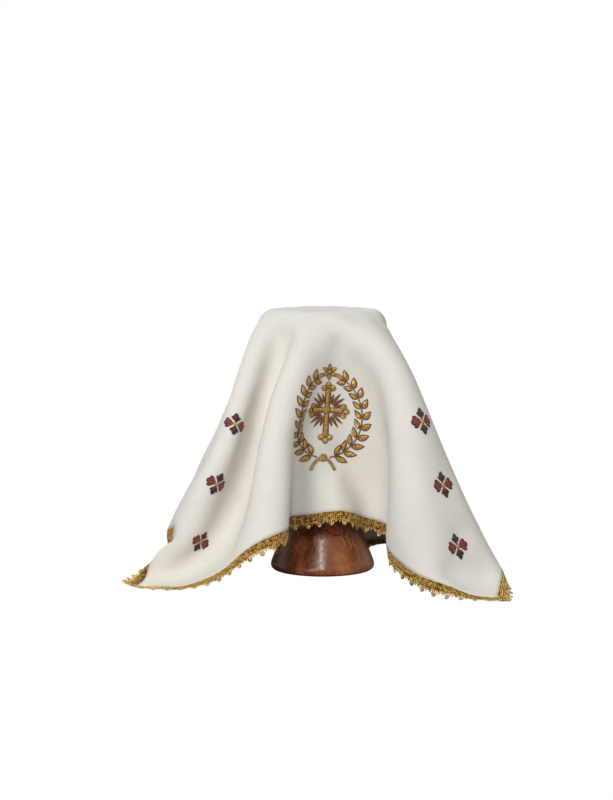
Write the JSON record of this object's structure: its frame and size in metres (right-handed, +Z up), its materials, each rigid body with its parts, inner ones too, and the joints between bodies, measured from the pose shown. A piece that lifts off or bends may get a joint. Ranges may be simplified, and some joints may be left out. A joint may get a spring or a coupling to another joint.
{
  "type": "chalice veil draped over a chalice and paten",
  "caption": "Square cloth veil with a lace edging, draped in folds over a covered chalice: a flat round top, a smooth front panel and flared side points that reach the table.",
  "frame": {"origin": "centre of the chalice foot's underside, on the table", "axes": "+Z up along the chalice's axis, -Y towards the front panel with the embroidered emblem, +X to the right seen from the front"},
  "size_m": [0.3661, 0.3501, 0.258],
  "materials": {
    "cloth": "ivory crepe weave, matte",
    "lace": "gold metallic thread lace",
    "chalice_body": "brown patinated, satin",
    "paten_plate": "satin gilt"
  },
  "bodies": {
    "root": {"veil_cloth": "cloth", "lace_edging": "lace", "chalice": "chalice_body", "paten": "paten_plate"}
  },
  "joints": []
}
